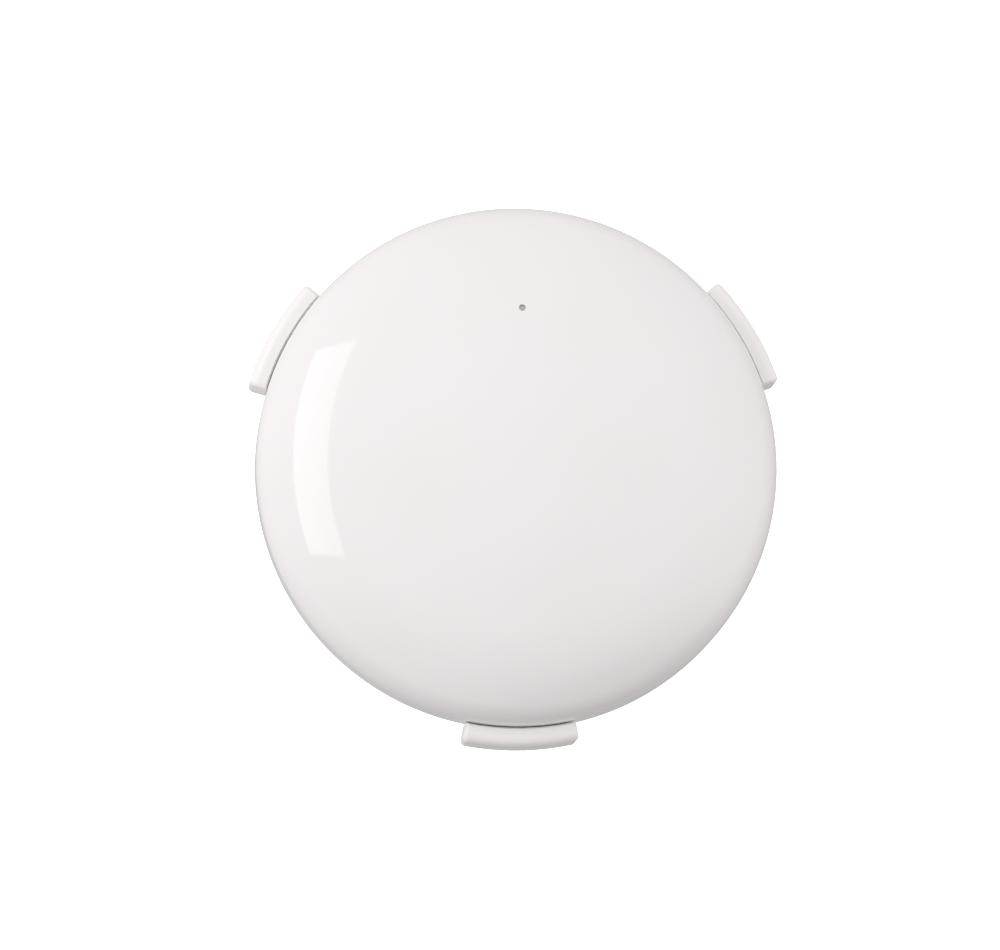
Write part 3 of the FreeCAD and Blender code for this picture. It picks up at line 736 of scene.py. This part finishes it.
room = sum_up("ADD", along(ROOM_TILT), ROOM_LEVEL)
lit = sum_up("ADD", room, patch(PATCH_SIDE, 0.3, PATCH_FOCUS, PATCH_GLOW))
shaded = sum_up("SUBTRACT", lit, patch(DARK_SIDE, 0.0, DARK_FOCUS, DARK_DEPTH))
glow = add(tree, "ShaderNodeBackground", inputs={"Strength": sum_up("MAXIMUM", shaded, 0.0)})
add(tree, "ShaderNodeOutputWorld", inputs={"Surface": glow.outputs["Background"]})
bpy.context.scene.world = world

# %% [markdown]
# ## The softbox
#
# The crisp crescent on the dome's left is the mirror image of a softbox: a lamp behind a rectangle of white
# cloth. The dome bends the rectangle into a crescent. The box stands low on the left and is rolled a little,
# which slants the crescent's ends, and its lower edge is brighter, because the lamp sits nearer to it.

# %% A softbox on the left
BOX_SIZE = (0.43, 0.165)
BOX_DISTANCE = 0.45
LOW_EDGE_GLOW, HIGH_EDGE_GLOW = 2.3, 1.6
BOX_SIDE, BOX_RISE, BOX_ROLL = math.radians(168), math.radians(36), math.radians(10)
BOX_SHIFT = 0.02               # how far up its own plane it's moved from where it's aimed

towards_box = Vector((math.cos(BOX_SIDE) * math.cos(BOX_RISE), math.sin(BOX_SIDE) * math.cos(BOX_RISE),
                      math.sin(BOX_RISE)))
level = Vector((0, 0, 1)).cross(towards_box).normalized()
steep = towards_box.cross(level)
rolled = level * math.cos(BOX_ROLL) + steep * math.sin(BOX_ROLL)
softbox = bpy.data.lights.new("softbox", "AREA")
softbox.shape = "RECTANGLE"
softbox.size, softbox.size_y = BOX_SIZE
softbox.energy = math.pi * BOX_SIZE[0] * BOX_SIZE[1]     # makes its radiance the number that its nodes give
softbox.use_nodes = True
tree = softbox.node_tree
tree.nodes.clear()
on_cloth = add(tree, "ShaderNodeNewGeometry").outputs["Parametric"]
rise_on_cloth = add(tree, "ShaderNodeSeparateXYZ", inputs={"Vector": on_cloth}).outputs["Y"]
radiance = add(tree, "ShaderNodeMapRange", inputs={
    "Value": rise_on_cloth, "To Min": LOW_EDGE_GLOW, "To Max": HIGH_EDGE_GLOW})
cloth = add(tree, "ShaderNodeEmission", inputs={"Strength": radiance.outputs["Result"]})
add(tree, "ShaderNodeOutputLight", inputs={"Surface": cloth.outputs["Emission"]})
box_lamp = bpy.data.objects.new("softbox", softbox)
box_lamp.matrix_world = facing(towards_box * BOX_DISTANCE + steep * BOX_SHIFT, rolled,
                               towards_box.cross(rolled), towards_box)
bpy.context.scene.collection.objects.link(box_lamp)
print(f"a softbox of {BOX_SIZE[0]} by {BOX_SIZE[1]} m, {BOX_DISTANCE} m away")

# %% [markdown]
# ## The white table and its backdrop
#
# Paper lit from behind goes fully white and takes no shadow, which is how a catalogue picture gets its pure
# ground. The table lies just under the lowest place that the back cover can reach when it is unscrewed, so
# it never cuts into it. A round paper wall far behind it meets it without a visible line. Neither may
# light the tag or show in its gloss, because the room's light already holds their share. The table
# does keep off the light from below.

# %% Table and backdrop
TABLE_DEPTH = 1.7 * MM         # the back cover comes down 1.6 mm at most
TABLE_REACH, WALL_HEIGHT = 2.0, 2.0
PAPER_GRAIN = 0.5 * MM

paper, tree = blank_material("paper_white_backlit")
place = add(tree, "ShaderNodeTexCoord").outputs["Object"]
fibres = add(tree, "ShaderNodeTexNoise", inputs={"Vector": place, "Scale": 1 / PAPER_GRAIN})
bump = add(tree, "ShaderNodeBump", inputs={"Height": fibres.outputs["Fac"], "Distance": 0.01 * MM})
shader = add(tree, "ShaderNodeBsdfPrincipled", inputs={
    "Base Color": mixed(tree, fibres.outputs["Fac"], linear("#F6F6F6"), linear("#F2F2F2")),
    "Roughness": 0.6, "Normal": bump.outputs["Normal"],
    "Emission Color": (1, 1, 1, 1), "Emission Strength": 0.9})
add(tree, "ShaderNodeOutputMaterial", inputs={"Surface": shader.outputs["BSDF"]})

table_mesh = bpy.data.meshes.new("table")
corners = [(x * TABLE_REACH, y * TABLE_REACH, -TABLE_DEPTH) for x, y in ((-1, -1), (1, -1), (1, 1), (-1, 1))]
table_mesh.from_pydata(corners, [], [(0, 1, 2, 3)])
table = bpy.data.objects.new("table", table_mesh)
bpy.context.scene.collection.objects.link(table)
wall = turned("paper_wall", [(TABLE_REACH * 0.99, -TABLE_DEPTH), (TABLE_REACH * 0.99, WALL_HEIGHT)], 96)
wall.visible_shadow = False
for paper_piece in (table, wall):
    paper_piece.data.materials.append(paper)
    paper_piece.visible_diffuse = False
    paper_piece.visible_glossy = False
bpy.context.scene.view_settings.view_transform = "Standard"      # keeps the paper's white pure
print("the table lies", TABLE_DEPTH / MM, "mm under the closed back cover")
